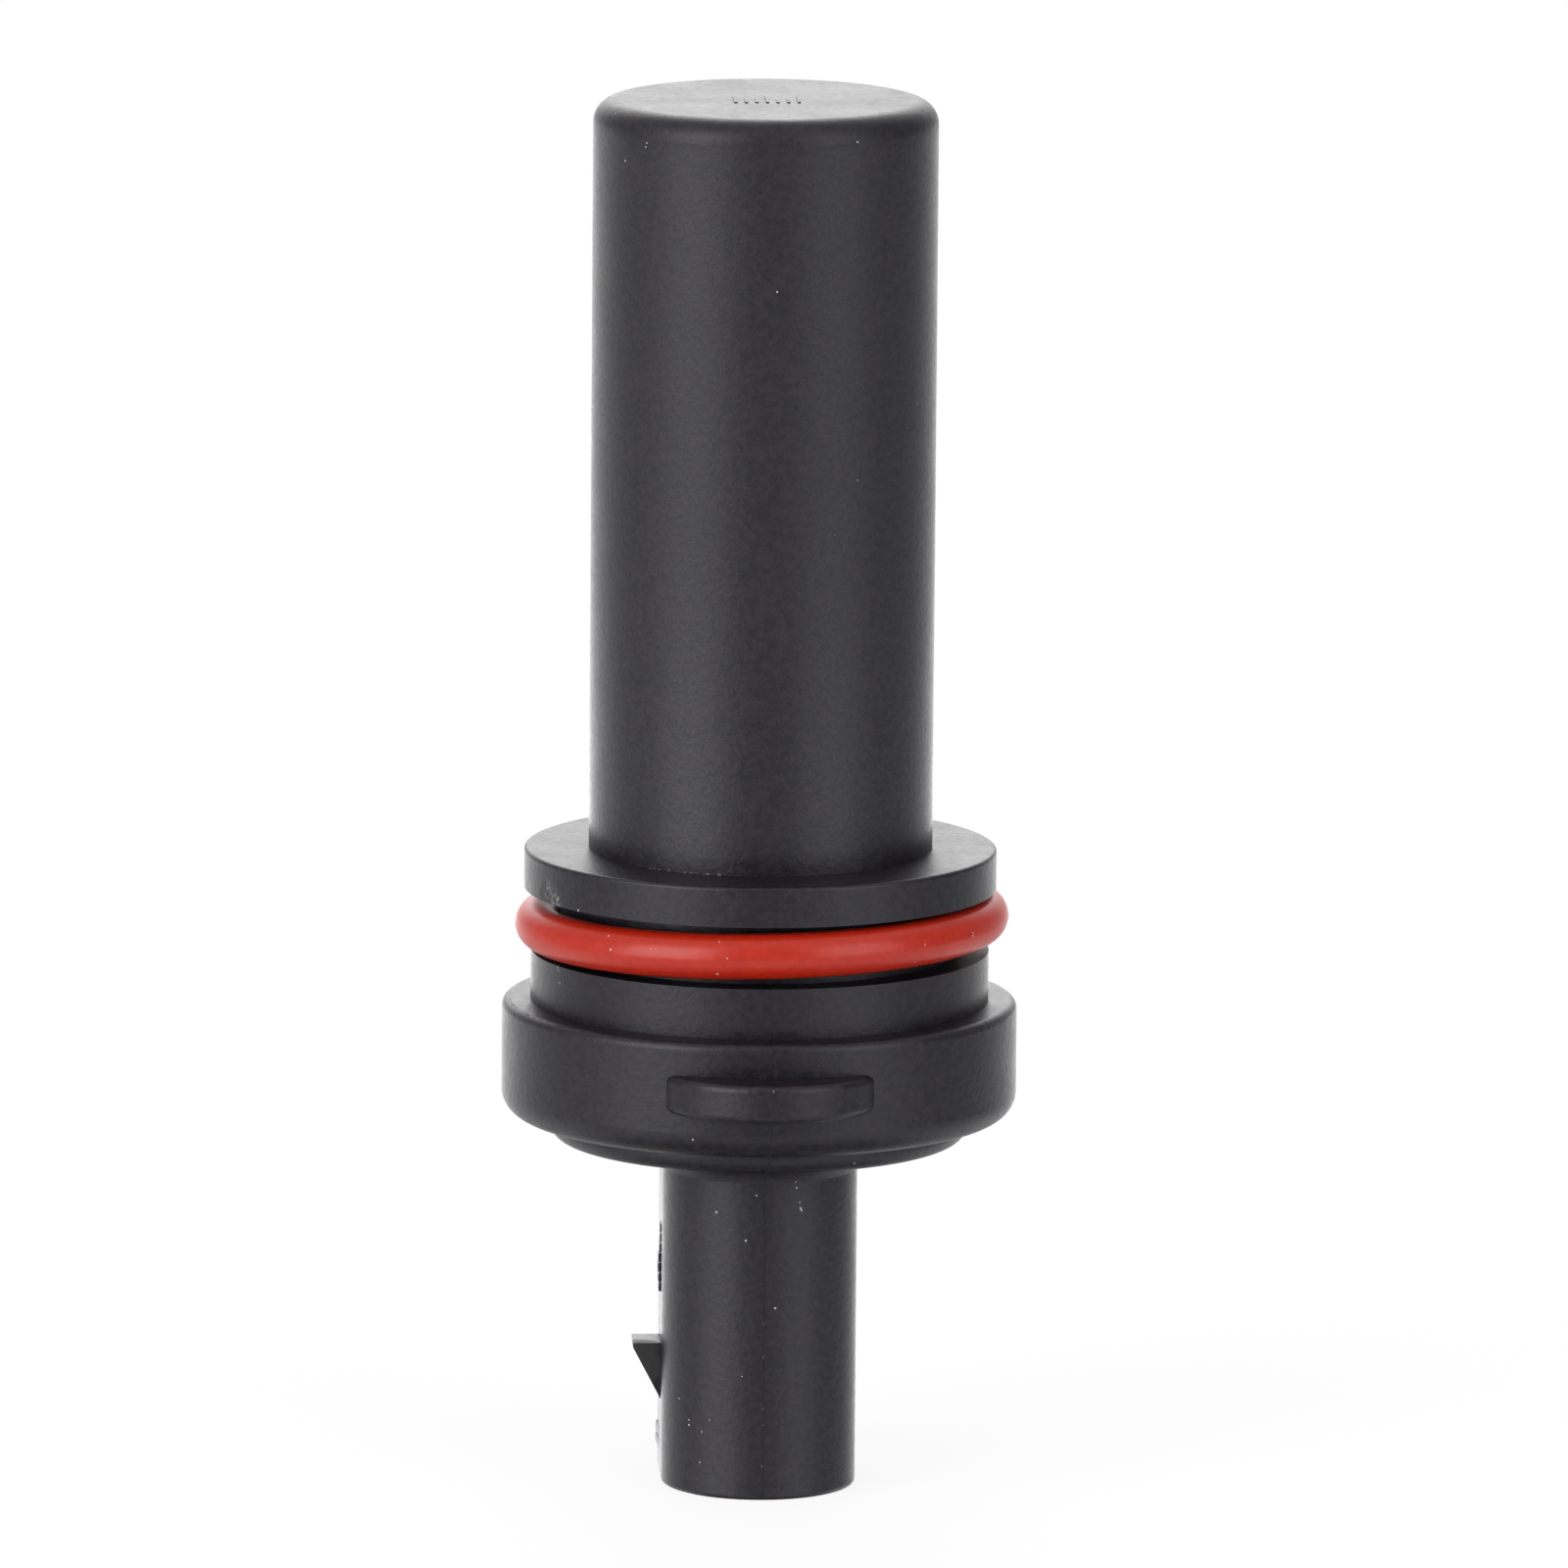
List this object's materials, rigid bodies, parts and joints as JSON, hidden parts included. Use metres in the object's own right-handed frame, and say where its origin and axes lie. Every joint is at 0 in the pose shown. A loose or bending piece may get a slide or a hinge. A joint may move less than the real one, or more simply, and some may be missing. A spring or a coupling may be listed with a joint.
{
  "type": "crankshaft position sensor",
  "caption": "Plug-in crankshaft position sensor: round black probe with a pilot collar, red seal ring, keyed flange and a shrouded blade connector.",
  "frame": {"origin": "on the probe's axis, in the flange's ring-shaped seating face", "axes": "+Z along the probe to its tip, -Y to the locating lug, -X to the connector's lock wedge"},
  "size_m": [0.027, 0.0293, 0.073],
  "materials": {
    "probe_plastic": "fine matt moulded black, glass-filled",
    "body_plastic": "fine matt moulded black, glass-filled",
    "seal_rubber": "satin red rubber",
    "bobbin_plastic": "natural moulded plastic",
    "copper_wire": "enamelled copper",
    "tape_film": "amber film",
    "soft_iron": "turned soft iron",
    "magnet_alloy": "ground magnet alloy",
    "tinned_brass": "satin tin plate",
    "potting_resin": "black cast resin"
  },
  "bodies": {
    "root": {"probe_housing": "probe_plastic", "connector_body": "body_plastic", "seal_ring": "seal_rubber", "bobbin": "bobbin_plastic", "coil_winding": "copper_wire", "coil_tape": "tape_film", "pole_pin": "soft_iron", "magnet": "magnet_alloy", "back_plate": "soft_iron", "coil_pin_front": "tinned_brass", "coil_pin_rear": "tinned_brass", "lead_wire_front": "copper_wire", "lead_wire_rear": "copper_wire", "terminal_front": "tinned_brass", "terminal_rear": "tinned_brass", "potting_fill": "potting_resin"}
  },
  "joints": []
}
